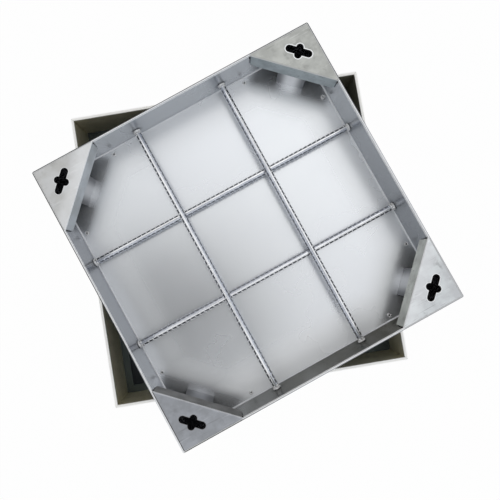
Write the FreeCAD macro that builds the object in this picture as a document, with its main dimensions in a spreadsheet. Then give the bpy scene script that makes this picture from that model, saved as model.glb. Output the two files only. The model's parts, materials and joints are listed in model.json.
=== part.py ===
import FreeCAD, Part
import math
import os
import Sketcher

# Recessed paving cover: a square sheet tray that is filled with paving, laid at an angle on its own frame.
# The frame stands on the ground with its centre at the origin, and the tray's sides run along X and Y.

# Driving dimensions in millimetres and degrees
SIZES = {
    # frame: four mitred angles, leg upright and foot turned inwards as the tray's ledge
    "frame_length": 600,
    "frame_height": 100,
    "frame_thickness": 5,
    "frame_ledge": 15,
    "frame_turn": -19.5,
    "frame_weld_groove": 3,
    "frame_weld_crown": 1.4,
    # tray: one sheet folded up on four sides, which drops into the frame flush with its rim
    "tray_gap": 1,
    "tray_sheet": 3,
    "tray_bend": 3,
    "tray_shift_x": 15,
    "tray_shift_y": -7,
    "tray_weld_groove": 2,
    "tray_weld_crown": 0.9,
    # corner plates: triangles level with the rim, each with a lip folded down and a cross keyhole
    "plate_leg": 124,
    "plate_sheet": 3,
    "plate_fold": 2.5,
    "lip_depth": 40,
    "lip_end_gap": 0.2,
    "lip_tack_height": 9,
    "lip_tack_drop": 5,
    "keyhole_inset": 38,
    "keyhole_long": 50.7,
    "keyhole_short": 28,
    "keyhole_width": 13,
    # key boxes: channels under the keyholes that keep the filling out
    "key_box_width": 56,
    "key_box_sheet": 2,
    # reinforcing bars: ribbed, two along X below and two along Y above
    "bar_core": 11.6,
    "bar_over_ribs": 13.9,
    "bar_rail_width": 2,
    "bar_end_gap": 0.1,
    "bar_plain_end": 10,
    "rib_pitch": 10.5,
    "rib_thickness": 1.7,
    "rib_lean": 25,
    "lower_bar_height": 15,
    "lower_rear_offset": 97.4,
    "lower_rear_slant": -0.6,
    "lower_front_offset": -88,
    "lower_front_slant": -0.4,
    "upper_left_offset": -89.8,
    "upper_left_slant": -0.2,
    "upper_right_offset": 102.2,
    "upper_right_slant": -0.5,
    # welds on the bars
    "end_weld_length": 5,
    "end_weld_foot": 18,
    "end_weld_nose": 13,
    "weld_gap": 0.1,
    "crossing_weld_reach": 5.5,
    "crossing_weld_width": 5.6,
    "crossing_weld_height": 3.4,
    # weld buttons on the tray's floor beside the corner plates
    "button_width": 11,
    "button_crown": 7.5,
    "button_height": 1.8,
    "button_inset": 11,
    "button_rear_left": 154,
    "button_rear_right": 153,
    "button_right_rear": 176,
    "button_right_front": 171,
    "button_front_right": 178,
    "button_front_left": 142,
    "button_left_front": 158,
    "button_left_rear": 164,
}

# Sizes worked out from the driving ones
FRAME_HALF = "(Sizes.frame_length / 2)"
LEDGE_EDGE = f"({FRAME_HALF} - Sizes.frame_thickness - Sizes.frame_ledge)"
TRAY_HALF = f"({FRAME_HALF} - Sizes.frame_thickness - Sizes.tray_gap)"
TRAY_HEIGHT = "(Sizes.frame_height - Sizes.frame_thickness)"
INSIDE_HALF = f"({TRAY_HALF} - Sizes.tray_sheet)"
INSIDE_CORNER = f"({INSIDE_HALF} * sqrt(2))"
PLATE_REACH = "(Sizes.plate_leg / sqrt(2))"
LIP_FRONT = f"({INSIDE_CORNER} - {PLATE_REACH})"
LIP_BACK = f"({LIP_FRONT} + Sizes.plate_sheet)"
LIP_HALF = f"({PLATE_REACH} - Sizes.plate_sheet - Sizes.lip_end_gap)"
PLATE_UNDERSIDE = f"({TRAY_HEIGHT} - Sizes.plate_sheet)"
KEYHOLE_CENTRE = f"(({INSIDE_HALF} - Sizes.keyhole_inset) * sqrt(2))"
BAR_LENGTH = f"(2 * {INSIDE_HALF} - 2 * Sizes.bar_end_gap)"
BAR_RADIUS = "(Sizes.bar_core / 2)"
CREST_RADIUS = "(Sizes.bar_over_ribs / 2)"
RIB_SPACES = f"floor(({BAR_LENGTH} - 2 * Sizes.bar_plain_end) / Sizes.rib_pitch)"
LOWER_BAR_LEVEL = "(Sizes.tray_sheet + Sizes.lower_bar_height)"
CROSSING_LEVEL = f"({LOWER_BAR_LEVEL} + {CREST_RADIUS})"
UPPER_BAR_LEVEL = f"({CROSSING_LEVEL} + {CREST_RADIUS})"

TRAY_PLACE = ("Sizes.tray_shift_x", "Sizes.tray_shift_y", "Sizes.frame_height")
FRAME_PLACE = ("0", "0", "0")
CORNERS = ("rear_right", "rear_left", "front_left", "front_right")
SIDES = ("rear", "left", "front", "right")
ALONG_DIAGONAL = "-45"
X_AXIS = FreeCAD.Vector(1, 0, 0)
Y_AXIS = FreeCAD.Vector(0, 1, 0)
Z_AXIS = FreeCAD.Vector(0, 0, 1)

# Sides of the bars' core with the weld rings round it, and of the small weld lumps
CORE_SIDES = 12
LUMP_SIDES = 8

# A rib's crest reaches this many degrees up the flank, and its slope ends at an edge of the core,
# sunk into the core by a share of the slope
RIB_CREST_ANGLE = 26
RIB_END_ANGLE = 45
RIB_ROOT_SHARE = 0.2

# The round of the fold takes at most this share of the sheet
FOLD_SHARE = 0.9
SAME_PLACE = 1e-6

doc = FreeCAD.newDocument("recessed_paving_cover")
sheet = doc.addObject("Spreadsheet::Sheet", "Sizes")


def fill_sheet():
    """One row for each driving dimension: its name and its value, under the same alias."""
    for row, (alias, number) in enumerate(SIZES.items(), start=1):
        sheet.set(f"A{row}", alias)
        sheet.set(f"B{row}", str(number))
        sheet.setAlias(f"B{row}", alias)
    doc.recompute()


def value(expression):
    """Number that an expression of the sheet's cells gives."""
    return float(sheet.evalExpression(expression))


def bind(item, **expressions):
    """Tie an object's properties to expressions of the sheet's cells."""
    for name, expression in expressions.items():
        item.setExpression(name, expression)


def place(item, x, y, z, turn="0", axis=Z_AXIS):
    """Tie an object's place to the sheet, and its turn about an axis."""
    item.Placement = FreeCAD.Placement(FreeCAD.Vector(), FreeCAD.Rotation(axis, 1))
    item.setExpression("Placement.Base.x", x)
    item.setExpression("Placement.Base.y", y)
    item.setExpression("Placement.Base.z", z)
    item.setExpression("Placement.Rotation.Angle", turn)


def new_body(label, position, turn="0"):
    """Body of one sub-part, placed by the sheet; it may hold a group of separate solids."""
    body = doc.addObject("PartDesign::Body", label)
    body.Label = label
    body.AllowCompound = True
    place(body, *position, turn)
    return body


def origin_feature(body, role):
    """One of the body's own planes or axes."""
    return next(item for item in body.Origin.OriginFeatures if item.Role == role)


def new_sketch(body, name, role="XY_Plane", level="0", turn="0", axis=Z_AXIS):
    """Sketch on one of the body's planes, raised to a level and turned about an axis."""
    sketch = body.newObject("Sketcher::SketchObject", f"{body.Name}_{name}")
    sketch.AttachmentSupport = [(origin_feature(body, role), "")]
    sketch.MapMode = "FlatFace"
    sketch.AttachmentOffset = FreeCAD.Placement(FreeCAD.Vector(), FreeCAD.Rotation(axis, 1))
    sketch.setExpression("AttachmentOffset.Base.z", level)
    sketch.setExpression("AttachmentOffset.Rotation.Angle", turn)
    return sketch


def tie_point(sketch, geometry, point, x, y):
    """Hold a point of the sketch's geometry at a place given by the sheet."""
    for kind, expression in (("DistanceX", x), ("DistanceY", y)):
        rule = Sketcher.Constraint(kind, -1, 1, geometry, point, value(expression))
        index = sketch.addConstraint(rule)
        sketch.setExpression(f"Constraints[{index}]", expression)


def outline(sketch, corners):
    """Closed outline of straight lines; every corner is tied to the sheet."""
    points = [FreeCAD.Vector(value(x), value(y), 0) for x, y in corners]
    first = len(sketch.Geometry)
    count = len(points)
    for index in range(count):
        sketch.addGeometry(Part.LineSegment(points[index], points[(index + 1) % count]))
    for index in range(count):
        follower = first + (index + 1) % count
        sketch.addConstraint(Sketcher.Constraint("Coincident", first + index, 2, follower, 1))
    for index, (x, y) in enumerate(corners):
        tie_point(sketch, first + index, 1, x, y)


def rectangle(sketch, half_width, low, high):
    """Outline that is symmetrical about the sketch's vertical axis, from a low to a high level."""
    left = f"(-{half_width})"
    outline(sketch, [(left, low), (half_width, low), (half_width, high), (left, high)])


def slot(sketch, centre, length, width, upright):
    """Slot with round ends, centred on the sketch's vertical axis; upright stands it on end."""
    radius = f"({width} / 2)"
    reach = f"(({length} - {width}) / 2)"
    ends = []
    for sign, start in (("", -math.pi / 2), ("-", math.pi / 2)):
        x, y = f"({sign}{reach})", centre
        if upright:
            x, y = "0", f"{centre} + ({sign}{reach})"
            start += math.pi / 2
        circle = Part.Circle(FreeCAD.Vector(value(x), value(y), 0), Z_AXIS, value(radius))
        ends.append(sketch.addGeometry(Part.ArcOfCircle(circle, start, start + math.pi)))
        tie_point(sketch, ends[-1], 3, x, y)
    first, second = (sketch.Geometry[index] for index in ends)
    sides = [
        sketch.addGeometry(Part.LineSegment(first.EndPoint, second.StartPoint)),
        sketch.addGeometry(Part.LineSegment(second.EndPoint, first.StartPoint)),
    ]
    for arc, side, next_arc in ((ends[0], sides[0], ends[1]), (ends[1], sides[1], ends[0])):
        sketch.addConstraint(Sketcher.Constraint("Tangent", arc, 2, side, 1))
        sketch.addConstraint(Sketcher.Constraint("Tangent", side, 2, next_arc, 1))
    sketch.addConstraint(Sketcher.Constraint("Equal", ends[0], ends[1]))
    index = sketch.addConstraint(Sketcher.Constraint("Radius", ends[0], value(radius)))
    sketch.setExpression(f"Constraints[{index}]", radius)


def pad(body, sketch, length):
    """Pad a sketch by a length from the sheet."""
    feature = body.newObject("PartDesign::Pad", sketch.Name + "_pad")
    feature.Profile = sketch
    bind(feature, Length=length)
    return feature


def pocket(body, sketch, length, upwards=False):
    """Cut a sketch out of the body, downwards from its plane or upwards, and check that it cuts."""
    doc.recompute()
    before = body.Shape.Volume
    feature = body.newObject("PartDesign::Pocket", sketch.Name + "_pocket")
    feature.Profile = sketch
    feature.Reversed = upwards
    bind(feature, Length=length)
    doc.recompute()
    if body.Shape.Volume >= before:
        raise RuntimeError(f"{feature.Name} cuts nothing")
    return feature


def around(body, feature, count=4):
    """Repeat a feature evenly about the body's upright axis."""
    pattern = body.newObject("PartDesign::PolarPattern", f"{body.Name}_around")
    pattern.Originals = [feature]
    pattern.Axis = (origin_feature(body, "Z_Axis"), [""])
    pattern.Angle = 360
    pattern.Occurrences = count
    body.Tip = pattern


def corner_beads(body, level, height, corner, groove, crown):
    """Weld beads in the grooves up four outer corners: flat at the back, round in front."""
    sketch = new_sketch(body, "section", level=level, turn=ALONG_DIAGONAL)
    back = f"({corner} * sqrt(2) - {groove} / sqrt(2))"
    half = f"({groove} / sqrt(2))"
    ends = [FreeCAD.Vector(sign * value(half), value(back), 0) for sign in (-1, 1)]
    top = FreeCAD.Vector(0, value(back) + value(crown), 0)
    chord = sketch.addGeometry(Part.LineSegment(ends[0], ends[1]))
    arc = sketch.addGeometry(Part.Arc(ends[1], top, ends[0]))
    crest = sketch.addGeometry(Part.Point(top), True)
    sketch.addConstraint(Sketcher.Constraint("Coincident", chord, 2, arc, 1))
    sketch.addConstraint(Sketcher.Constraint("Coincident", arc, 2, chord, 1))
    tie_point(sketch, chord, 1, f"(-{half})", back)
    tie_point(sketch, chord, 2, half, back)
    tie_point(sketch, crest, 1, "0", f"{back} + {crown}")
    sketch.addConstraint(Sketcher.Constraint("PointOnObject", crest, 1, arc))
    around(body, pad(body, sketch, height))


def make_tray_pan():
    """Sheet folded up on four sides, with grooves at its outer corners for the seam welds."""
    body = new_body("tray_pan", TRAY_PLACE)
    floor = new_sketch(body, "floor")
    rectangle(floor, TRAY_HALF, f"(-{TRAY_HALF})", TRAY_HALF)
    block = pad(body, floor, TRAY_HEIGHT)
    doc.recompute()
    bends = body.newObject("PartDesign::Fillet", "tray_bends")
    low_edges = [f"Edge{number}" for number, edge in enumerate(block.Shape.Edges, start=1)
                 if edge.BoundBox.ZMax < value("Sizes.tray_sheet")]
    bends.Base = (block, low_edges)
    bind(bends, Radius="Sizes.tray_bend + Sizes.tray_sheet")
    doc.recompute()
    top = next(f"Face{number}" for number, face in enumerate(bends.Shape.Faces, start=1)
               if face.BoundBox.ZMin > value(TRAY_HEIGHT) - value("Sizes.tray_sheet"))
    hollow = body.newObject("PartDesign::Thickness", "tray_hollow")
    hollow.Base = (bends, [top])
    hollow.Reversed = True
    bind(hollow, Value="Sizes.tray_sheet")
    grooves = new_sketch(body, "seam_grooves", turn=ALONG_DIAGONAL)
    corner = f"({TRAY_HALF} * sqrt(2))"
    back = f"({corner} - Sizes.tray_weld_groove / sqrt(2))"
    outside = f"({corner} + Sizes.tray_weld_groove)"
    rectangle(grooves, "(2 * Sizes.tray_weld_groove)", back, outside)
    cut = pocket(body, grooves, TRAY_HEIGHT, upwards=True)
    around(body, cut)
    return body


def make_corner_plate(label, turn):
    """Triangle level with the rim, its lip folded down across the corner and its cross keyhole."""
    body = new_body(label, TRAY_PLACE, turn)
    triangle = new_sketch(body, "triangle", level=PLATE_UNDERSIDE, turn=ALONG_DIAGONAL)
    outline(triangle, [(f"(-{PLATE_REACH})", LIP_FRONT), (PLATE_REACH, LIP_FRONT), ("0", INSIDE_CORNER)])
    pad(body, triangle, "Sizes.plate_sheet")
    lip = new_sketch(body, "lip", level=f"{TRAY_HEIGHT} - Sizes.lip_depth", turn=ALONG_DIAGONAL)
    rectangle(lip, LIP_HALF, LIP_FRONT, LIP_BACK)
    folded = pad(body, lip, "Sizes.lip_depth")
    doc.recompute()
    fold = body.newObject("PartDesign::Fillet", f"{label}_fold")
    fold.Base = (folded, fold_edges(folded.Shape))
    bind(fold, Radius=f"min(Sizes.plate_fold; {FOLD_SHARE} * Sizes.plate_sheet)")
    for name, length, upright in (("long", "keyhole_long", False), ("short", "keyhole_short", True)):
        sketch = new_sketch(body, f"{name}_slot", level=TRAY_HEIGHT, turn=ALONG_DIAGONAL)
        slot(sketch, KEYHOLE_CENTRE, f"Sizes.{length}", "Sizes.keyhole_width", upright)
        body.Tip = pocket(body, sketch, "2 * Sizes.plate_sheet")
    return body


def fold_edges(shape):
    """Names of the edges along the top of the fold."""
    level = value(TRAY_HEIGHT)
    distance = value(LIP_FRONT)
    names = []
    for number, edge in enumerate(shape.Edges, start=1):
        ends = [vertex.Point for vertex in edge.Vertexes]
        on_top = all(abs(end.z - level) < SAME_PLACE for end in ends)
        in_front = all(abs((end.x + end.y) / math.sqrt(2) - distance) < SAME_PLACE for end in ends)
        if on_top and in_front:
            names.append(f"Edge{number}")
    return names


def make_key_box(label, turn):
    """Channel under the keyhole, its back against the lip and its legs towards the tray's corner."""
    body = new_body(label, TRAY_PLACE, turn)
    section = new_sketch(body, "section", level="Sizes.tray_sheet", turn=ALONG_DIAGONAL)
    outer = "(Sizes.key_box_width / 2)"
    inner = f"({outer} - Sizes.key_box_sheet)"
    leg_end = f"({INSIDE_CORNER} - Sizes.tray_bend * sqrt(2))"
    back_inside = f"({LIP_BACK} + Sizes.key_box_sheet)"
    right_half = [(outer, LIP_BACK), (outer, f"{leg_end} - {outer}"), (inner, f"{leg_end} - {inner}"),
                  (inner, back_inside)]
    left_half = [(f"(-{x})", y) for x, y in reversed(right_half)]
    outline(section, right_half + left_half)
    pad(body, section, f"{PLATE_UNDERSIDE} - Sizes.tray_sheet")
    return body


def make_ribbed_bar(label, x, y, level, turn):
    """Ribbed bar: many-sided core, a rail above and below, and leaning ribs on both flanks."""
    position = (f"Sizes.tray_shift_x + {x}", f"Sizes.tray_shift_y + {y}", f"Sizes.frame_height + {level}")
    body = new_body(label, position, turn)
    core = new_sketch(body, "core", "YZ_Plane", level=f"-{BAR_LENGTH} / 2")
    step = 360 / CORE_SIDES
    angles = [step / 2 + step * side for side in range(CORE_SIDES)]
    outline(core, [(f"{BAR_RADIUS} * cos({angle})", f"{BAR_RADIUS} * sin({angle})") for angle in angles])
    pad(body, core, BAR_LENGTH)
    rails = new_sketch(body, "rails", "YZ_Plane", level=f"Sizes.bar_plain_end / 2 - {BAR_LENGTH} / 2")
    rectangle(rails, "(Sizes.bar_rail_width / 2)", f"(-{CREST_RADIUS})", CREST_RADIUS)
    pad(body, rails, f"{BAR_LENGTH} - Sizes.bar_plain_end")
    first_rib = f"-({RIB_SPACES} * Sizes.rib_pitch + Sizes.rib_thickness) / 2"
    rib = new_sketch(body, "rib", "YZ_Plane", first_rib, "Sizes.rib_lean", X_AXIS)
    outline(rib, rib_corners())
    one_rib = pad(body, rib, "Sizes.rib_thickness")
    one_rib.ReferenceAxis = (origin_feature(body, "X_Axis"), [""])
    row = body.newObject("PartDesign::LinearPattern", f"{label}_ribs")
    row.Originals = [one_rib]
    row.Direction = (origin_feature(body, "X_Axis"), [""])
    bind(row, Length=f"{RIB_SPACES} * Sizes.rib_pitch", Occurrences=f"{RIB_SPACES} + 1")
    body.Tip = row
    return body


def rib_corners():
    """Outline of a leaning rib through the bar: a flat crest on each flank, and slopes into the core."""
    crest_y = f"({CREST_RADIUS} * cos({RIB_CREST_ANGLE}))"
    crest_z = f"({CREST_RADIUS} * sin({RIB_CREST_ANGLE}))"
    end_y = f"({BAR_RADIUS} * cos({RIB_END_ANGLE}))"
    end_z = f"({BAR_RADIUS} * sin({RIB_END_ANGLE}))"
    root_y = f"({end_y} + {RIB_ROOT_SHARE} * ({end_y} - {crest_y}))"
    root_z = f"({end_z} + {RIB_ROOT_SHARE} * ({end_z} - {crest_z}))"
    quarter = [(crest_y, crest_z), (root_y, root_z)]
    half = [(y, f"(-{z})") for y, z in reversed(quarter)] + quarter
    other_half = [(f"(-{y})", z) for y, z in reversed(half)]
    return [(y, f"{z} / cos(Sizes.rib_lean)") for y, z in half + other_half]


def make_frame_side(label, turn):
    """Angle with its foot turned inwards, mitred at both ends, with a groove for the corner weld."""
    body = new_body(label, FRAME_PLACE, turn)
    section = new_sketch(body, "section", "YZ_Plane", level=f"-{FRAME_HALF}")
    inner_face = f"({FRAME_HALF} - Sizes.frame_thickness)"
    outline(section, [
        (FRAME_HALF, "0"), (FRAME_HALF, "Sizes.frame_height"), (inner_face, "Sizes.frame_height"),
        (inner_face, "Sizes.frame_thickness"), (LEDGE_EDGE, "Sizes.frame_thickness"), (LEDGE_EDGE, "0"),
    ])
    pad(body, section, f"2 * {FRAME_HALF}")
    mitres = new_sketch(body, "mitres")
    inside = f"({LEDGE_EDGE} - Sizes.frame_thickness)"
    outside = f"({FRAME_HALF} + Sizes.frame_thickness)"
    groove_root = f"({FRAME_HALF} - Sizes.frame_weld_groove / 2)"
    groove_side = f"({FRAME_HALF} - Sizes.frame_weld_groove - Sizes.frame_thickness)"
    right_end = [(inside, inside), (groove_root, groove_root), (groove_side, outside),
                 (outside, outside), (outside, inside)]
    outline(mitres, right_end)
    outline(mitres, [(f"(-{x})", y) for x, y in right_end])
    pocket(body, mitres, "Sizes.frame_height", upwards=True)
    return body


def make_lip_tacks():
    """Small fillings between the lips' ends and the tray's walls, two at each corner plate."""
    body = new_body("lip_tack_welds", TRAY_PLACE)
    level = f"{TRAY_HEIGHT} - Sizes.plate_sheet - Sizes.lip_tack_drop - Sizes.lip_tack_height"
    sketch = new_sketch(body, "sections", level=level, turn=ALONG_DIAGONAL)
    right_end = [
        (LIP_HALF, LIP_FRONT), (PLATE_REACH, LIP_FRONT),
        (f"({PLATE_REACH} - Sizes.plate_sheet)", LIP_BACK), (LIP_HALF, LIP_BACK),
    ]
    outline(sketch, right_end)
    outline(sketch, [(f"(-{x})", y) for x, y in right_end])
    around(body, pad(body, sketch, "Sizes.lip_tack_height"))
    return body


def new_group(label, members):
    """Sub-part made of like solids that lie apart, placed with the tray."""
    group = doc.addObject("Part::Compound", label)
    group.Label = label
    group.Links = members
    place(group, *TRAY_PLACE)
    return group


def tapered_lump(name, sides, foot, crown, height):
    """Many-sided lump of weld metal, with its width at the foot and at the crown."""
    ends = []
    for end, width, level in (("foot", foot, "0"), ("crown", crown, height)):
        polygon = doc.addObject("Part::RegularPolygon", f"{name}_{end}")
        polygon.Polygon = sides
        bind(polygon, Circumradius=f"{width} / 2")
        place(polygon, "0", "0", level, f"{180 / sides}")
        ends.append(polygon)
    lump = doc.addObject("Part::Loft", name)
    lump.Sections = ends
    lump.Solid = True
    lump.Ruled = True
    return lump


def end_weld(name, x, y, z, turn, axis):
    """Ring of weld metal round a bar's end, wide at the wall, with the core's many-sided hole."""
    lump = tapered_lump(f"{name}_lump", CORE_SIDES, "Sizes.end_weld_foot", "Sizes.end_weld_nose",
                        "Sizes.end_weld_length")
    hole = doc.addObject("Part::Prism", f"{name}_hole")
    hole.Polygon = CORE_SIDES
    bind(hole, Circumradius=f"{BAR_RADIUS} + Sizes.weld_gap", Height="Sizes.end_weld_length")
    place(hole, "0", "0", "0", f"{180 / CORE_SIDES}")
    ring = doc.addObject("Part::Cut", name)
    ring.Base = lump
    ring.Tool = hole
    place(ring, x, y, z, turn, axis)
    return ring


def make_end_welds():
    """Rings at both ends of each bar, set against the walls where the bar meets them."""
    rings = []
    for row in ("rear", "front"):
        offset, slant = f"Sizes.lower_{row}_offset", f"Sizes.lower_{row}_slant"
        for name, sign, turn in (("right", "1", "-90"), ("left", "-1", "90")):
            x = f"{sign} * {INSIDE_HALF}"
            y = f"{offset} + {x} * tan({slant})"
            label = f"lower_{row}_{name}_weld"
            rings.append(end_weld(label, x, y, LOWER_BAR_LEVEL, turn, Y_AXIS))
    for column in ("left", "right"):
        offset, slant = f"Sizes.upper_{column}_offset", f"Sizes.upper_{column}_slant"
        for name, sign, turn in (("rear", "1", "90"), ("front", "-1", "-90")):
            y = f"{sign} * {INSIDE_HALF}"
            x = f"{offset} - {y} * tan({slant})"
            label = f"upper_{column}_{name}_weld"
            rings.append(end_weld(label, x, y, UPPER_BAR_LEVEL, turn, X_AXIS))
    return new_group("bar_end_welds", rings)


def make_crossing_welds():
    """Lumps of weld in two opposite angles of each crossing, between the upper and the lower bar."""
    lumps = []
    for column in ("left", "right"):
        for row in ("rear", "front"):
            across, along = f"Sizes.upper_{column}_offset", f"Sizes.lower_{row}_offset"
            x = f"{across} - {along} * tan(Sizes.upper_{column}_slant)"
            y = f"{along} + {across} * tan(Sizes.lower_{row}_slant)"
            for name, sign in (("first", "+"), ("second", "-")):
                lump = doc.addObject("Part::Prism", f"crossing_{column}_{row}_{name}")
                lump.Polygon = LUMP_SIDES
                bind(lump, Circumradius="Sizes.crossing_weld_width / 2")
                bind(lump, Height="Sizes.crossing_weld_height")
                reach = f"{sign} Sizes.crossing_weld_reach"
                level = f"{CROSSING_LEVEL} - Sizes.crossing_weld_height / 2"
                place(lump, f"{x} {reach}", f"{y} {reach}", level)
                lumps.append(lump)
    return new_group("bar_crossing_welds", lumps)


def make_floor_buttons():
    """Low round weld buttons on the floor, two beside each corner plate, a little in from the walls."""
    inset = f"({INSIDE_HALF} - Sizes.button_inset)"
    places = {
        "rear_left": ("-Sizes.button_rear_left", inset),
        "rear_right": ("Sizes.button_rear_right", inset),
        "right_rear": (inset, "Sizes.button_right_rear"),
        "right_front": (inset, "-Sizes.button_right_front"),
        "front_right": ("Sizes.button_front_right", f"-{inset}"),
        "front_left": ("-Sizes.button_front_left", f"-{inset}"),
        "left_front": (f"-{inset}", "-Sizes.button_left_front"),
        "left_rear": (f"-{inset}", "Sizes.button_left_rear"),
    }
    buttons = []
    for name, (x, y) in places.items():
        button = tapered_lump(f"button_{name}", LUMP_SIDES, "Sizes.button_width", "Sizes.button_crown",
                              "Sizes.button_height")
        place(button, x, y, "Sizes.tray_sheet")
        buttons.append(button)
    return new_group("floor_weld_buttons", buttons)


def make_bars():
    """Four ribbed bars: two along X, and two along Y that lie on them."""
    bars = []
    for row in ("rear", "front"):
        offset, slant = f"Sizes.lower_{row}_offset", f"Sizes.lower_{row}_slant"
        bars.append(make_ribbed_bar(f"lower_bar_{row}", "0", offset, LOWER_BAR_LEVEL, slant))
    for column in ("left", "right"):
        offset, slant = f"Sizes.upper_{column}_offset", f"Sizes.upper_{column}_slant"
        bars.append(make_ribbed_bar(f"upper_bar_{column}", offset, "0", UPPER_BAR_LEVEL, f"90 + {slant}"))
    return bars


def make_parts():
    """Every sub-part of the cover."""
    parts = [make_tray_pan()]
    for quarter, corner in enumerate(CORNERS):
        parts.append(make_corner_plate(f"corner_plate_{corner}", f"{90 * quarter}"))
        parts.append(make_key_box(f"key_box_{corner}", f"{90 * quarter}"))
    parts += make_bars()
    for quarter, side in enumerate(SIDES):
        parts.append(make_frame_side(f"frame_side_{side}", f"Sizes.frame_turn + {90 * quarter}"))
    frame_welds = new_body("frame_corner_welds", FRAME_PLACE, "Sizes.frame_turn")
    corner_beads(frame_welds, "0", "Sizes.frame_height", FRAME_HALF,
                 "Sizes.frame_weld_groove", "Sizes.frame_weld_crown")
    tray_welds = new_body("tray_corner_welds", TRAY_PLACE)
    bend = "(Sizes.tray_bend + Sizes.tray_sheet)"
    corner_beads(tray_welds, bend, f"{TRAY_HEIGHT} - {bend}", TRAY_HALF,
                 "Sizes.tray_weld_groove", "Sizes.tray_weld_crown")
    parts += [frame_welds, tray_welds, make_lip_tacks()]
    parts += [make_end_welds(), make_crossing_welds(), make_floor_buttons()]
    return parts


def check(parts):
    """Stop if anything in the document failed, or if a sub-part has no valid solid."""
    for item in doc.Objects:
        if "Invalid" in item.State or "Error" in item.State:
            raise RuntimeError(f"{item.Name} failed: {item.State}")
    for part in parts:
        shape = part.Shape
        if shape.isNull() or not shape.isValid() or not shape.Solids:
            raise RuntimeError(f"{part.Label} is not a valid solid")


def write(parts):
    """One file for each sub-part, named after it."""
    os.makedirs("parts", exist_ok=True)
    for part in parts:
        part.Shape.exportStep(f"parts/{part.Label}.step")
        print(f"{part.Label}: {len(part.Shape.Solids)} solids, {part.Shape.Volume / 1000:.1f} cm3")


fill_sheet()
cover_parts = make_parts()
doc.recompute()
check(cover_parts)
write(cover_parts)
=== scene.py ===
"""Recessed paving cover: finishes, ribbed bars, weld metal, light and camera round the fixed model."""

import json
import logging
import math
import random
from dataclasses import dataclass
from enum import Enum, IntEnum
from typing import Any, Iterable

import bmesh
import bpy
from mathutils import Matrix, Vector, noise


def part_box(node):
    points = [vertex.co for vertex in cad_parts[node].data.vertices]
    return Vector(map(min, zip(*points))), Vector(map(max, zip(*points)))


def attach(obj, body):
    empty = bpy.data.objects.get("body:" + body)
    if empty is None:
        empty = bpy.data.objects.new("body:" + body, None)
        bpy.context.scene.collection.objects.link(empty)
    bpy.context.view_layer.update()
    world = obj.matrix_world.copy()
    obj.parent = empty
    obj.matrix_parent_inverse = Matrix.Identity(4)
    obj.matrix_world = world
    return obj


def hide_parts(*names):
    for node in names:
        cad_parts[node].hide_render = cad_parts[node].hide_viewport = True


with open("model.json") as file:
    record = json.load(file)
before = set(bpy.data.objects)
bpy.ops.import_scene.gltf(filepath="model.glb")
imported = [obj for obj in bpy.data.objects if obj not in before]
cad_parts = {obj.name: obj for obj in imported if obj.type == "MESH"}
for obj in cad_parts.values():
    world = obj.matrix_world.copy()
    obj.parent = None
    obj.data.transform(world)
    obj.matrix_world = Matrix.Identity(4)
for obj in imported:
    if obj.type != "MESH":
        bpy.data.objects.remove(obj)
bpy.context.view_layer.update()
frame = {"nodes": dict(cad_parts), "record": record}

Triple = tuple[float, float, float]
Colour = Triple
Pair = tuple[float, float]
Material = bpy.types.Material
Mesh = bmesh.types.BMesh
Piece = bpy.types.Object
Socket = bpy.types.NodeSocket
log = logging.getLogger("paving_cover")

MM = 0.001
SOFT_EDGE = 0.3 * MM
JOIN_DISTANCE = 0.002 * MM
FLAT_ANGLE = 0.5
FRAME_TURN = 19.5
BODY = "root"
BARS = ("lower_bar_rear", "lower_bar_front", "upper_bar_left", "upper_bar_right")
CORNERS = ("rear_right", "rear_left", "front_left", "front_right")
SIDES = ("rear", "left", "front", "right")


class Grain(Enum):
    """Direction in which a sheet was brushed or rolled."""

    ALONG_X = "along x"
    ALONG_Y = "along y"
    CLOUDY = "no direction"


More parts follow.
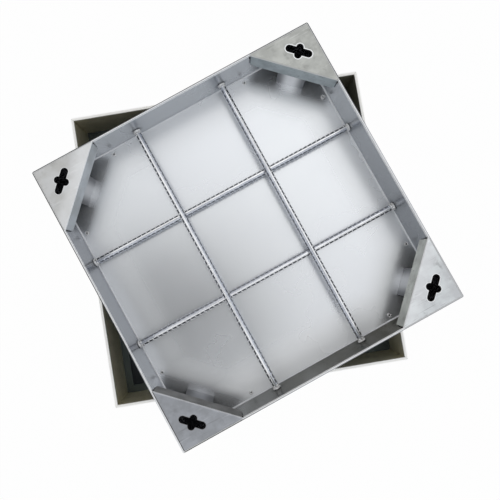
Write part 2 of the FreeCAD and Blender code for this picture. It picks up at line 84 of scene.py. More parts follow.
class Graph:
    """Nodes of one material or world, made and joined by short calls."""

    def __init__(self, tree: bpy.types.NodeTree, coordinates: str = "Object") -> None:
        """Start an empty tree with its coordinates, in metres on a piece.

        Args:
            tree: Where the nodes go.
            coordinates: Blender's name of the coordinates.
        """
        self.tree = tree
        tree.nodes.clear()
        self.place = self.add("ShaderNodeTexCoord").outputs[coordinates]

    def add(self, kind: str, inputs: dict[Any, Any] | None = None, **settings: Any) -> bpy.types.Node:
        """Make a node.

        Args:
            kind: Blender's name of the node type.
            inputs: Value or socket for each input, by name or number.
            settings: The node's own properties.

        Returns:
            The node.
        """
        node = self.tree.nodes.new(kind)
        for name, setting in settings.items():
            setattr(node, name, setting)
        for key, entry in (inputs or {}).items():
            if isinstance(entry, Socket):
                self.tree.links.new(entry, node.inputs[key])
            else:
                node.inputs[key].default_value = entry
        return node

    def math(self, operation: str, *entries: Any) -> Socket:
        """Sum, difference or other operation on numbers or sockets."""
        return self.add("ShaderNodeMath", dict(enumerate(entries)), operation=operation).outputs[0]

    def product(self, first: Any, *others: Any) -> Socket:
        """Product of numbers or sockets."""
        for other in others:
            first = self.math("MULTIPLY", first, other)
        return first

    def larger(self, first: Any, *others: Any) -> Socket:
        """Largest of some numbers or sockets."""
        for other in others:
            first = self.math("MAXIMUM", first, other)
        return first

    def above(self, entry: Socket, limit: float) -> Socket:
        """One where a value is above a limit, and nought elsewhere."""
        return self.math("GREATER_THAN", entry, limit)

    def below(self, entry: Socket, limit: float) -> Socket:
        """One where a value is below a limit, and nought elsewhere."""
        return self.math("LESS_THAN", entry, limit)

    def between(self, entry: Socket, low: float, high: float) -> Socket:
        """One where a value lies between two limits, and nought elsewhere."""
        return self.product(self.above(entry, low), self.below(entry, high))

    def vector(self, operation: str, *entries: Any) -> Socket:
        """Vector that an operation on vectors gives."""
        return self.add("ShaderNodeVectorMath", dict(enumerate(entries)), operation=operation).outputs[0]

    def measure(self, operation: str, *entries: Any) -> Socket:
        """Number that an operation on vectors gives."""
        node = self.add("ShaderNodeVectorMath", dict(enumerate(entries)), operation=operation)
        return node.outputs["Value"]

    def parts(self, vector: Socket) -> list[Socket]:
        """The three coordinates of a vector."""
        return list(self.add("ShaderNodeSeparateXYZ", {0: vector}).outputs)

    def spread(self, entry: Any, low: float, high: float, to_low: float = 0.0,
               to_high: float = 1.0) -> Socket:
        """Value carried smoothly from one range to another, and held at its ends.

        Args:
            entry: Socket with the value.
            low: Start of the range that it comes from.
            high: End of that range.
            to_low: What the start becomes.
            to_high: What the end becomes.

        Returns:
            The new value's socket.
        """
        inputs = {0: entry, 1: low, 2: high, 3: to_low, 4: to_high}
        return self.add("ShaderNodeMapRange", inputs, interpolation_type="SMOOTHSTEP").outputs[0]

    def blend(self, share: Any, first: Any, second: Any) -> Socket:
        """Colour between two colours.

        Args:
            share: Share of the second colour.
            first: First colour or its socket.
            second: Second colour or its socket.

        Returns:
            The new colour's socket.
        """
        node = self.add("ShaderNodeMix", data_type="RGBA")
        for name, entry in (("Factor_Float", share), ("A_Color", first), ("B_Color", second)):
            socket = next(item for item in node.inputs if item.identifier == name)
            if isinstance(entry, Socket):
                self.tree.links.new(entry, socket)
            elif name == "Factor_Float":
                socket.default_value = entry
            else:
                socket.default_value = (*entry, 1.0)
        return next(item for item in node.outputs if item.identifier == "Result_Color")

    def tinted(self, share: Any, colour: Socket, tint: Colour) -> Socket:
        """Colour multiplied by a tint, by a share."""
        return self.blend(share, colour, self.vector("MULTIPLY", colour, tint))

    def mapped(self, turn: float, kind: str = "POINT", **inputs: Any) -> Socket:
        """Coordinates turned about the upright axis by degrees, and scaled or moved by further inputs."""
        inputs |= {"Vector": self.place, "Rotation": (0.0, 0.0, math.radians(turn))}
        return self.add("ShaderNodeMapping", inputs, vector_type=kind).outputs[0]

    def cloud(self, scale: float, detail: float = 3.0, stretch: Triple = (1.0, 1.0, 1.0),
              turn: float = 0.0) -> Socket:
        """Soft noise from 0 to 1.

        Args:
            scale: Features in a metre, roughly.
            detail: Octaves of finer noise.
            stretch: Factor on each axis, under 1 to draw the features out.
            turn: Turn of the pattern about the upright axis, in degrees.

        Returns:
            The noise's socket.
        """
        place = self.mapped(turn, Scale=stretch)
        inputs = {"Vector": place, "Scale": scale, "Detail": detail, "Roughness": 0.55}
        return self.add("ShaderNodeTexNoise", inputs).outputs[0]


@dataclass(frozen=True)
class SheetFinish:
    """Finish of a metal sheet, bar or weld, from its clouds down to its grain.

    Roughness runs from calm to worn with the clouds, and heights are in metres. A pair named edges holds the
    values of a noise between which its pattern sets in.
    """

    name: str
    colour: Colour
    cloud_colour: Colour
    edge_colour: Colour
    roughness: float
    worn_roughness: float
    cloud_scale: float = 9.0
    cloud_edges: Pair = (0.36, 0.64)
    wear_edges: Pair = (0.3, 0.7)
    mottle: float = 0.025
    mottle_scale: float = 60.0
    grain: Grain = Grain.CLOUDY
    grain_height: float = 0.00001
    grain_scale: float = 1400.0
    grain_stretch: float = 0.02
    wave_height: float = 0.0002
    wave_scale: float = 7.0
    scuffs: float = 0.1
    scuff_turns: Pair = (24.0, -52.0)
    scratch_scale: float = 260.0
    scratch_stretch: float = 0.06
    scratch_edges: Pair = (0.6, 0.7)
    patch_scale: float = 18.0
    patch_edges: Pair = (0.48, 0.65)
    stains: float = 0.0
    stain_colour: Colour = (0.1, 0.095, 0.09)
    stain_turns: Pair = (68.0, -12.0)
    stain_scale: float = 55.0
    stain_edges: Pair = (0.56, 0.72)
    stain_share: float = 0.6
    metallic: float = 1.0
    grazing_tint: Colour = (1.0, 1.0, 1.0)

    def material(self) -> Material:
        """Material with this finish.

        Returns:
            The new material.
        """
        material = bpy.data.materials.new(self.name)
        material.use_nodes = True
        graph = Graph(material.node_tree)
        clouds = graph.cloud(self.cloud_scale, 4.0)
        share = graph.spread(clouds, *self.cloud_edges)
        colour = graph.blend(share, self.colour, self.cloud_colour)
        scuffs = graph.product(self.scuff_mask(graph, self.scuff_turns), self.scuffs)
        colour = graph.blend(scuffs, colour, self.edge_colour)
        if self.stains:
            spots = graph.cloud(self.stain_scale, 5.0)
            spots = graph.spread(spots, *self.stain_edges, 0.0, self.stain_share)
            dark = graph.larger(self.scuff_mask(graph, self.stain_turns), spots)
            colour = graph.blend(graph.product(dark, self.stains), colour, self.stain_colour)
        colour = self.markings(graph, colour)
        fine = graph.cloud(self.mottle_scale)
        rough = graph.spread(clouds, *self.wear_edges, self.roughness, self.worn_roughness)
        rough = graph.math("ADD", rough, graph.spread(fine, *self.wear_edges, -self.mottle, self.mottle))
        shader = graph.add("ShaderNodeBsdfPrincipled", {
            "Base Color": colour, "Roughness": rough, "Metallic": self.shine(graph),
            "Normal": self.relief(graph), "Specular Tint": self.grazing(graph),
        })
        graph.add("ShaderNodeOutputMaterial", {0: shader.outputs[0]})
        return material

    def markings(self, graph: Graph, colour: Socket) -> Socket:
        """Colour with what is special to one kind of sheet; nothing on a plain one.

        Args:
            graph: The material's nodes.
            colour: The sheet's own colour.

        Returns:
            The new colour's socket.
        """
        return colour

    def shine(self, graph: Graph) -> Any:
        """How metallic the finish is: the same all over on a plain sheet."""
        return self.metallic

    def grazing(self, graph: Graph) -> Any:
        """Tint of what is reflected at a flat angle: the same all over on a plain sheet."""
        return (*self.grazing_tint, 1.0)

    def scuff_mask(self, graph: Graph, turns: Pair) -> Socket:
        """Thin scratches in patches, from 0 to 1.

        Args:
            graph: The material's nodes.
            turns: Directions of the scratches, in degrees.

        Returns:
            The mask's socket.
        """
        masks = []
        for turn in turns:
            lines = graph.cloud(self.scratch_scale, 2.0, (self.scratch_stretch, 1.0, 1.0), turn)
            patches = graph.cloud(self.patch_scale, 2.0, turn=turn)
            thin = graph.spread(lines, *self.scratch_edges)
            masks.append(graph.product(thin, graph.spread(patches, *self.patch_edges)))
        return graph.larger(*masks)

    def relief(self, graph: Graph) -> Socket:
        """Normals of the sheet's slow waves and of its fine grain.

        Args:
            graph: The material's nodes.

        Returns:
            The normals' socket.
        """
        stretch = {
            Grain.ALONG_X: (self.grain_stretch, 1.0, 1.0),
            Grain.ALONG_Y: (1.0, self.grain_stretch, 1.0),
            Grain.CLOUDY: (1.0, 1.0, 1.0),
        }[self.grain]
        waves = graph.cloud(self.wave_scale, 1.0)
        slow = graph.add("ShaderNodeBump", {"Height": waves, "Distance": self.wave_height, "Strength": 1.0})
        lines = graph.cloud(self.grain_scale, 2.0, stretch)
        grain = graph.add("ShaderNodeBump", {
            "Height": lines, "Distance": self.grain_height, "Strength": 1.0, "Normal": slow.outputs[0],
        })
        return grain.outputs[0]


@dataclass(frozen=True)
class Box:
    """Lowest and highest corner of a node or solid, in metres."""

    low: Vector
    high: Vector

    @property
    def centre(self) -> Vector:
        """Middle of the box."""
        return (self.low + self.high) / 2

    @property
    def half(self) -> Vector:
        """Half of the box's size on each axis."""
        return (self.high - self.low) / 2


def box_round(points: list[Vector]) -> Box:
    """Box round some points."""
    columns = list(zip(*points))
    return Box(Vector([min(column) for column in columns]), Vector([max(column) for column in columns]))


def place_of(name: str) -> Box:
    """Box of a node of the fixed model."""
    low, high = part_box(name)
    return Box(Vector(low), Vector(high))


def bar_ends(node: str) -> tuple[Vector, Vector]:
    """Centre of a bar's two ends, from the fixed model.

    Args:
        node: The bar's node.

    Returns:
        The two ends, the lower coordinate first.
    """
    box = place_of(node)
    along = 0 if box.half.x > box.half.y else 1
    ends = []
    for limit, sign in ((box.low[along], 1.0), (box.high[along], -1.0)):
        near = [vertex.co for vertex in frame["nodes"][node].data.vertices
                if (vertex.co[along] - limit) * sign < MM]
        ends.append(box_round(near).centre)
    return ends[0], ends[1]


class TrayPlace:
    """Coordinates from the middle of the tray's box, which the finishes of its sheets share."""

    def __init__(self, graph: Graph) -> None:
        """Make the nodes that measure from the tray's middle.

        Args:
            graph: The material's nodes.
        """
        box = place_of("tray_pan")
        self.graph = graph
        self.half = box.half
        local = graph.vector("SUBTRACT", graph.place, box.centre)
        self.x, self.y, self.level = graph.parts(local)
        across, along, _ = graph.parts(graph.vector("ABSOLUTE", local))
        self.reach = graph.larger(across, along)
        self.outward = graph.product(graph.math("ADD", across, along), math.sqrt(0.5))
        apart = graph.math("ABSOLUTE", graph.math("SUBTRACT", across, along))
        self.aside = graph.product(apart, math.sqrt(0.5))


def frame_reach(graph: Graph) -> Socket:
    """Distance from the middle of the turned frame towards its nearest side.

    Args:
        graph: The material's nodes.

    Returns:
        The distance's socket.
    """
    across, along, _ = graph.parts(graph.vector("ABSOLUTE", graph.mapped(FRAME_TURN)))
    return graph.larger(across, along)


@dataclass(frozen=True)
class TrayFinish(SheetFinish):
    """Tray's sheet: painted highlight and shade line on the rim, painted floor light, painted shade on walls
    and wells.

    A range is a pair of places in metres between which a mark grows or fades, and a value named least is what
    is left of a mark at its weaker end. The wall's range is measured inwards from the tray's outer side.
    """

    sheet: float = 3.0 * MM
    # Painted highlight along the top of the walls, duller beside the plates; the rim is less metallic under
    # it.
    rim_highlight_colour: Colour = (0.97, 0.97, 0.97)
    corner_rim_highlight_colour: Colour = (0.62, 0.62, 0.61)
    rim_drop: float = 7.5 * MM
    rim_highlight_dulling: float = 0.75
    plate_leg: float = 127.0 * MM
    # Painted shade line along the rim's outer edge: dark, lighter towards the front right, pale at the left
    # side's front.
    rim_edge_shade_width: float = 1.7 * MM
    rim_edge_shade_colour: Colour = (0.03, 0.03, 0.03)
    lit_rim_edge_colour: Colour = (0.42, 0.42, 0.44)
    lit_rim_edge_range: Pair = (0.06, 0.3)
    pale_rim_edge_colour: Colour = (0.85, 0.85, 0.86)
    pale_rim_edge_range: Pair = (-0.24, -0.06)
    # Painted highlight along the bends between the floor and the walls, which are less metallic there.
    crease_highlight_colour: Colour = (0.78, 0.79, 0.81)
    crease_highlight_dulling: float = 0.5
    crease_width: float = 2.7 * MM
    crease_margin: float = 0.5 * MM
    # Darker round the bars' ends, on the inner faces.
    bar_end_dark_tint: Colour = (0.5, 0.51, 0.53)
    bar_end_dark_range: Pair = (6.8 * MM, 17.0 * MM)
    wall_range: Pair = (4.8 * MM, 3.3 * MM)
    # Painted shade on the inner walls, deeper on the left towards the rear and on the right towards the
    # front.
    wall_shade_tint: Colour = (0.55, 0.565, 0.585)
    left_wall_shade_tint: Colour = (0.56, 0.57, 0.6)
    left_wall_shade_least: float = 0.15
    right_wall_shade_tint: Colour = (0.66, 0.67, 0.69)
    right_wall_shade_least: float = 0.2
    # Painted dark reflection on the front wall's inside, in patches, deeper towards the right.
    dark_reflection_tint: Colour = (0.27, 0.255, 0.215)
    dark_reflection_scale: float = 14.0
    dark_reflection_stretch: Triple = (1.0, 1.0, 0.3)
    dark_reflection_edges: Pair = (0.3, 0.65)
    dark_reflection_least: float = 0.75
    dark_reflection_left_least: float = 0.45
    # Painted light on the floor beside the walls and in front of the lips, less metallic there and fading in
    # the corners.
    painted_floor_light_colour: Colour = (0.97, 0.98, 0.985)
    painted_floor_light: float = 0.4
    front_painted_floor_light: float = 0.82
    painted_floor_light_start: float = 195.0 * MM
    painted_floor_light_end: float = 262.0 * MM
    lip_painted_floor_light: float = 0.45
    lip_start: float = 245.0 * MM
    open_start: float = 296.0 * MM
    open_end: float = 322.0 * MM
    corner_share: float = 0.15
    # Painted shade on the floor inside the key boxes.
    well_shade_colour: Colour = (0.25, 0.25, 0.27)
    box_half: float = 26.5 * MM
    box_start: float = 329.0 * MM

    def markings(self, graph: Graph, colour: Socket) -> Socket:
        """Colour with painted wall, rim-edge and well shade, painted rim and bend highlights, and darker bar
        ends.
        """
        tray = TrayPlace(graph)
        inside = graph.below(tray.reach, tray.half.x - self.sheet / 2)
        # Painted light on the floor beside the walls and the lips.
        colour = graph.blend(self.painted_floor_light_share(tray), colour, self.painted_floor_light_colour)
        colour = self.walls(tray, inside, colour)
        colour = self.rim(tray, colour)
        # Painted highlight on the bends.
        colour = graph.blend(self.crease(tray), colour, self.crease_highlight_colour)
        # Darker round the bars' ends.
        colour = graph.tinted(graph.product(self.darkening_round_bar_ends(tray), inside), colour, self.bar_end_dark_tint)
        # Painted shade on the floor of the key boxes' wells.
        behind_lip = graph.above(tray.outward, self.box_start)
        in_box = graph.below(tray.aside, self.box_half)
        below_plate = graph.below(tray.level, tray.half.z - self.sheet)
        well = graph.product(behind_lip, in_box, below_plate, inside)
        return graph.blend(well, colour, self.well_shade_colour)

    def walls(self, tray: TrayPlace, inside: Socket, colour: Socket) -> Socket:
        """Colour with painted shade on all four walls, deeper at the left and right, and a painted dark
        reflection in front.

        Args:
            tray: Coordinates from the tray's middle.
            inside: Share that is one on the tray's inner faces.
            colour: The colour so far.

        Returns:
            The new colour's socket.
        """
        graph = tray.graph
        half = tray.half
        start, end = (half.x - drop for drop in self.wall_range)
        on_wall = graph.product(inside, graph.spread(tray.reach, start, end))
        left = graph.product(on_wall, graph.below(tray.x, -start),
                             graph.spread(tray.y, -half.y, 0.0, self.left_wall_shade_least, 1.0))
        right = graph.product(on_wall, graph.above(tray.x, start),
                              graph.spread(tray.y, -half.y, half.y, 1.0, self.right_wall_shade_least))
        # Painted shade on the walls, deeper at the left and right.
        colour = graph.tinted(on_wall, colour, self.wall_shade_tint)
        colour = graph.tinted(left, colour, self.left_wall_shade_tint)
        # Painted dark reflection on the front wall.
        colour = graph.tinted(self.front_wall_dark_reflection(tray), colour, self.dark_reflection_tint)
        return graph.tinted(right, colour, self.right_wall_shade_tint)

    def rim(self, tray: TrayPlace, colour: Socket) -> Socket:
        """Colour with the rim's painted highlight, duller beside the plates, and its outer edge's painted
        shade.

        Args:
            tray: Coordinates from the tray's middle.
            colour: The colour so far.

        Returns:
            The new colour's socket.
        """
        graph = tray.graph
        left_wall = self.sheet - tray.half.x
        on_rim = self.on_rim(tray)
        plate_start = (2 * tray.half.x - self.plate_leg) * math.sqrt(0.5)
        beside_plate = graph.above(tray.outward, plate_start)
        elsewhere = graph.larger(graph.above(tray.x, left_wall), graph.above(tray.y, 0.0))
        # Painted highlight on the rim, duller beside the plates.
        rim = graph.blend(graph.product(beside_plate, elsewhere), self.rim_highlight_colour, self.corner_rim_highlight_colour)
        colour = graph.blend(on_rim, colour, rim)
        # Painted shade along the rim's outer edge, lighter and pale where light falls on it.
        light = graph.spread(graph.math("SUBTRACT", tray.x, tray.y), *self.lit_rim_edge_range)
        pale = graph.product(graph.below(tray.x, left_wall),
                             graph.spread(tray.y, *self.pale_rim_edge_range, 1.0, 0.0))
        lighter = graph.larger(light, pale)
        rim_edge_shade_colour = graph.blend(lighter, self.rim_edge_shade_colour, self.lit_rim_edge_colour)
        rim_edge_shade_colour = graph.blend(pale, rim_edge_shade_colour, self.pale_rim_edge_colour)
        rim_edge_shade_start = tray.half.x - self.rim_edge_shade_width
        rim_edge_shade = graph.spread(tray.reach, rim_edge_shade_start, rim_edge_shade_start + SOFT_EDGE)
        return graph.blend(graph.product(rim_edge_shade, on_rim), colour, rim_edge_shade_colour)

    def on_rim(self, tray: TrayPlace) -> Socket:
        """Share of the rim, which is one along the top of the walls."""
        start = tray.half.z - self.rim_drop
        return tray.graph.spread(tray.level, start, start + SOFT_EDGE)

    def front_wall_dark_reflection(self, tray: TrayPlace) -> Socket:
        """Share of the painted dark reflection on the front wall's inside, in patches, deeper towards the
        right.

        Args:
            tray: Coordinates from the tray's middle.

        Returns:
            The share's socket.
        """
        graph = tray.graph
        half = tray.half
        front = graph.between(tray.y, -half.y + self.sheet / 2, -half.y + self.wall_range[0])
        below_rim = graph.below(tray.level, half.z - self.rim_drop)
        clouds = graph.cloud(self.dark_reflection_scale, 4.0, self.dark_reflection_stretch)
        patches = graph.spread(clouds, *self.dark_reflection_edges, self.dark_reflection_least, 1.0)
        return graph.product(patches, graph.spread(tray.x, -half.x, half.x, self.dark_reflection_left_least, 1.0),
                             front, below_rim)

    def darkening_round_bar_ends(self, tray: TrayPlace) -> Socket:
        """Share of the darkening round the bars' ends.

        Args:
            tray: Coordinates from the tray's middle.

        Returns:
            The share's socket.
        """
        graph = tray.graph
        share = 0.0
        for node in BARS:
            for end in bar_ends(node):
                away = graph.measure("DISTANCE", graph.place, end)
                share = graph.larger(share, graph.spread(away, *self.bar_end_dark_range, 1.0, 0.0))
        return share

    def crease(self, tray: TrayPlace) -> Socket:
        """Mask of the bends between the floor and the walls.

        Args:
            tray: Coordinates from the tray's middle.

        Returns:
            The mask's socket.
        """
        inner = tray.half.x - self.sheet
        floor = self.sheet - tray.half.z
        in_bend = tray.graph.between(tray.reach, inner - self.crease_width, inner + self.crease_margin)
        low_down = tray.graph.between(tray.level, floor - self.crease_margin, floor + self.crease_width)
        return tray.graph.product(in_bend, low_down)

    def painted_floor_light_share(self, tray: TrayPlace) -> Socket:
        """Share of the painted light on the floor, beside the walls and in front of the lips.

        Args:
            tray: Coordinates from the tray's middle.

        Returns:
            The share's socket.
        """
        graph = tray.graph
        beside_wall = graph.spread(tray.reach, self.painted_floor_light_start, self.painted_floor_light_end, 0.0, self.painted_floor_light)
        beside_front = graph.spread(tray.y, -self.painted_floor_light_end, -self.painted_floor_light_start, self.front_painted_floor_light, 0.0)
        beside_lip = graph.spread(tray.outward, self.lip_start, self.open_start, 0.0, self.lip_painted_floor_light)
        share = graph.larger(beside_wall, beside_front, beside_lip)
        open_floor = graph.spread(tray.outward, self.open_start, self.open_end, 1.0, self.corner_share)
        on_floor = graph.below(tray.level, 2 * self.sheet - tray.half.z)
        return graph.product(share, open_floor, on_floor)

    def shine(self, graph: Graph) -> Any:
        """How metallic the sheet is: less where light is painted on the floor, the rim and the bends.

        Args:
            graph: The material's nodes.

        Returns:
            The value's socket.
        """
        tray = TrayPlace(graph)
        metallic = self.metallic
        for dull in (self.painted_floor_light_share(tray), graph.product(self.on_rim(tray), self.rim_highlight_dulling),
                     graph.product(self.crease(tray), self.crease_highlight_dulling)):
            metallic = graph.math("SUBTRACT", metallic, dull)
        return graph.larger(metallic, 0.0)

    def grazing(self, graph: Graph) -> Any:
        """White all over but on the front wall, whose painted dark reflection stays dark at a flat angle too.
        """
        return graph.blend(self.front_wall_dark_reflection(TrayPlace(graph)), self.grazing_tint, self.dark_reflection_tint)


@dataclass(frozen=True)
class BarFinish(SheetFinish):
    """Rolled steel of the ribbed bars, fine in grain and without slow waves."""

    cloud_scale: float = 40.0
    grain_height: float = 0.00002
    wave_height: float = 0.0


@dataclass(frozen=True)
class PlateFinish(SheetFinish):
    """Corner plate's sheet, with a painted highlight round the cross keyhole and along the fold."""

    keyhole: str = "keyhole_rear_right"
    turn: float = 45.0
    short_slot: float = 28.0 * MM
    lip_start: float = 2.0 * MM
    # Painted shade and reflection tint on the lip, set for each plate.
    lip_shade_tint: Colour = (1.0, 1.0, 1.0)
    # Painted shade at the keyhole's very edge, in the stain colour.
    keyhole_shade_width: float = 0.6 * MM
    ring_width: float = 1.8 * MM
    ring_core: float = 0.7
    # Painted highlight round the keyhole.
    keyhole_highlight_colour: Colour = (0.88, 0.89, 0.89)
    # Painted highlight along the fold, less metallic there.
    fold_highlight_colour: Colour = (0.95, 0.955, 0.96)
    fold_start: float = 323.5 * MM
    fold_width: float = 2.2 * MM
    fold_core: float = 0.3
    fold_highlight_metallic: float = 0.4
    seam: float = 0.0
    seam_place: float = -289.4 * MM
    # Painted light that falls off from the fold across the plate.
    fold_painted_light: float = 0.0
    fold_painted_light_width: float = 34.0 * MM

    def fold(self, tray: TrayPlace, width: float) -> Socket:
        """Share that falls from the fold outwards, on the plate's upper side.

        Args:
            tray: Coordinates from the tray's middle.
            width: Distance in which it falls to nothing.

        Returns:
            The share's socket.
        """
        on_top = tray.graph.above(tray.level, tray.half.z - self.fold_width)
        core, end = self.fold_start + width * self.fold_core, self.fold_start + width
        return tray.graph.product(on_top, tray.graph.spread(tray.outward, core, end, 1.0, 0.0))

    def shine(self, graph: Graph) -> Any:
        """Metallic all over but on the fold, which is less metallic under its painted highlight."""
        fold = self.fold(TrayPlace(graph), self.fold_width)
        return graph.spread(fold, 0.0, 1.0, self.metallic, self.fold_highlight_metallic)

    def from_slots(self, graph: Graph, mount: dict[str, Any]) -> Socket:
        """Distance from the middle lines of the keyhole's two slots.

        Args:
            graph: The material's nodes.
            mount: The keyhole's entry in the record.

        Returns:
            The distance's socket.
        """
        radius = mount["dims"]["hole_r_mm"] * MM
        long_reach = mount["dims"]["slot_length_mm"] * MM / 2 - radius
        short_reach = self.short_slot / 2 - radius
        local = graph.mapped(self.turn, "TEXTURE", Location=mount["pos_m"])
        across, along, _ = graph.parts(graph.vector("ABSOLUTE", local))
        distances = []
        for first, second, reach in ((across, along, long_reach), (along, across, short_reach)):
            past_end = graph.larger(graph.math("SUBTRACT", second, reach), 0.0)
            squares = graph.math("ADD", graph.product(first, first), graph.product(past_end, past_end))
            distances.append(graph.math("SQRT", squares))
        return graph.math("MINIMUM", *distances)

    def markings(self, graph: Graph, colour: Socket) -> Socket:
        """Colour: painted keyhole and fold highlights, painted keyhole-edge and lip shade, the seam beside
        the wall.
        """
        mount = next(entry for entry in frame["record"]["mounts"] if entry["name"] == self.keyhole)
        tray = TrayPlace(graph)
        radius = mount["dims"]["hole_r_mm"] * MM
        nearest = self.from_slots(graph, mount)
        # Painted highlight round the keyhole.
        ring_start = radius + self.ring_width * self.ring_core
        ring = graph.spread(nearest, ring_start, radius + self.ring_width, 1.0, 0.0)
        colour = graph.blend(ring, colour, self.keyhole_highlight_colour)
        # Painted shade at the keyhole's very edge, in the stain colour.
        edge = graph.below(nearest, radius + self.keyhole_shade_width)
        colour = graph.blend(edge, colour, self.stain_colour)
        # Painted shade and reflection tint on the lip.
        on_lip = graph.below(graph.parts(graph.place)[2], mount["pos_m"][2] - self.lip_start)
        colour = graph.tinted(on_lip, colour, self.lip_shade_tint)
        # Painted light falling off from the fold.
        fold_painted_light = graph.product(self.fold(tray, self.fold_painted_light_width), self.fold_painted_light)
        colour = graph.blend(fold_painted_light, colour, self.fold_highlight_colour)
        if self.seam:
            beside_wall = graph.below(tray.x, self.seam_place)
            colour = graph.blend(graph.product(beside_wall, self.seam), colour, self.stain_colour)
        # Painted highlight along the fold.
        return graph.blend(self.fold(tray, self.fold_width), colour, self.fold_highlight_colour)


@dataclass(frozen=True)
class KeyBoxFinish(SheetFinish):
    """Key box's sheet, with painted shade towards the edges of its front and on the box at the front left."""

    # Painted shade towards the edges of the front and on the key box at the front left.
    side_shade_tint: Colour = (0.2, 0.205, 0.22)
    side_shade_range: Pair = (4.0 * MM, 26.0 * MM)
    front_left_shade_tint: Colour = (0.22, 0.225, 0.24)
    front_left_shade_range: Pair = (-0.45, 0.45)

    def markings(self, graph: Graph, colour: Socket) -> Socket:
        """Colour darkened by painted shade away from the corner's diagonal and towards the front left."""
        tray = TrayPlace(graph)
        # Painted shade towards the front's edges and on the key box at the front left.
        colour = graph.tinted(graph.spread(tray.aside, *self.side_shade_range), colour, self.side_shade_tint)
        front_left = graph.spread(graph.math("ADD", tray.x, tray.y), *self.front_left_shade_range, 1.0, 0.0)
        return graph.tinted(front_left, colour, self.front_left_shade_tint)


@dataclass(frozen=True)
class FrameFinish(SheetFinish):
    """Frame's dull angle: painted highlight on its cut rim, painted shade inside at the rear right and on the
    ledge.
    """

    outer_half: float = 300.0 * MM
    sheet: float = 5.0 * MM
    # Painted highlight along the frame's top, less metallic there.
    rim_highlight_colour: Colour = (1.0, 0.985, 0.94)
    rim_start: float = 97.0 * MM
    rim_highlight_dulling: float = 0.55
    inner_tint: Colour = (1.0, 0.98, 0.84)
    # Painted shade on the frame's ledge.
    ledge_shade_colour: Colour = (0.06, 0.075, 0.08)
    ledge_level: float = 6.5 * MM
    # Painted shade inside the frame at the rear, deeper towards the right.
    rear_shade_tint: Colour = (0.35, 0.36, 0.37)
    rear_shade_range: Pair = (-0.05, 0.1)
    rear_shade_right_range: Pair = (-0.25, 0.25)
    rear_shade_left_least: float = 0.2

    def markings(self, graph: Graph, colour: Socket) -> Socket:
        """Colour with the warm tint and painted shade of the frame's inside and the painted highlight along
        its top.
        """
        x, y, level = graph.parts(graph.place)
        inside = graph.below(frame_reach(graph), self.outer_half - self.sheet / 2)
        colour = graph.tinted(inside, colour, self.inner_tint)
        # Painted shade inside the frame at the rear, deeper towards the right.
        rear_shade = graph.product(inside, graph.spread(y, *self.rear_shade_range),
                                graph.spread(x, *self.rear_shade_right_range, self.rear_shade_left_least, 1.0))
        colour = graph.tinted(rear_shade, colour, self.rear_shade_tint)
        # Painted shade on the ledge.
        on_ledge = graph.product(inside, graph.below(level, self.ledge_level))
        colour = graph.blend(on_ledge, colour, self.ledge_shade_colour)
        # Painted highlight along the frame's top.
        return graph.blend(self.on_rim(graph), colour, self.rim_highlight_colour)

    def on_rim(self, graph: Graph) -> Socket:
        """Share of the painted highlight along the frame's top."""
        return graph.spread(graph.parts(graph.place)[2], self.rim_start - SOFT_EDGE, self.rim_start)

    def shine(self, graph: Graph) -> Any:
        """Metallic all over but less so under the painted highlight on the rim."""
        dull = self.metallic - self.rim_highlight_dulling
        return graph.spread(self.on_rim(graph), 0.0, 1.0, self.metallic, dull)


TRAY_SHEET = TrayFinish(
    "bright_tray_sheet", (0.84, 0.855, 0.87), (0.82, 0.835, 0.855), (0.97, 0.97, 0.97), 0.25, 0.28,
    cloud_scale=5.0, grain=Grain.ALONG_X, grain_height=0.000003, wave_height=0.0002, wave_scale=4.0,
    scuffs=0.03, mottle=0.0, metallic=0.9)
PLATE_SHEETS = {
    "rear_right": PlateFinish(
        "warm_plate_sheet", (0.51, 0.515, 0.485), (0.44, 0.445, 0.42), (0.8, 0.8, 0.78), 0.34, 0.44,
        cloud_scale=45.0, grain=Grain.ALONG_Y, scuffs=0.3, stains=0.4,
        keyhole="keyhole_rear_right", turn=45.0, lip_shade_tint=(0.78, 0.87, 0.97), ring_width=2.7 * MM,
        fold_highlight_colour=(0.7, 0.7, 0.69)),
    "rear_left": PlateFinish(
        "pale_plate_sheet", (0.64, 0.64, 0.635), (0.57, 0.565, 0.545), (0.9, 0.9, 0.9), 0.34, 0.44,
        cloud_scale=28.0, grain=Grain.ALONG_Y, scuffs=0.3, stains=0.2,
        keyhole="keyhole_rear_left", turn=-45.0, lip_shade_tint=(0.74, 0.79, 0.85), ring_width=1.6 * MM, fold_painted_light=0.5),
    "front_left": PlateFinish(
        "blue_plate_sheet", (0.46, 0.475, 0.505), (0.37, 0.38, 0.4), (0.75, 0.76, 0.78), 0.34, 0.44,
        cloud_scale=32.0, grain=Grain.ALONG_X, scuffs=0.3, stains=0.3,
        keyhole="keyhole_front_left", turn=45.0, lip_shade_tint=(0.24, 0.23, 0.21), ring_width=1.2 * MM,
        keyhole_highlight_colour=(0.4, 0.4, 0.42), fold_highlight_colour=(0.7, 0.71, 0.73), seam=0.9),
    "front_right": PlateFinish(
        "bright_plate_sheet", (0.69, 0.715, 0.72), (0.6, 0.61, 0.62), (0.9, 0.9, 0.92), 0.34, 0.44,
        cloud_scale=38.0, grain=Grain.ALONG_X, scuffs=0.35, stains=0.55,
        keyhole="keyhole_front_right", turn=-45.0, lip_shade_tint=(0.8, 0.8, 0.74), ring_width=2.2 * MM, fold_painted_light=0.35),
}
KEY_BOX_SHEET = KeyBoxFinish(
    "key_box_sheet", (0.86, 0.87, 0.885), (0.8, 0.81, 0.83), (0.9, 0.9, 0.9), 0.36, 0.44)
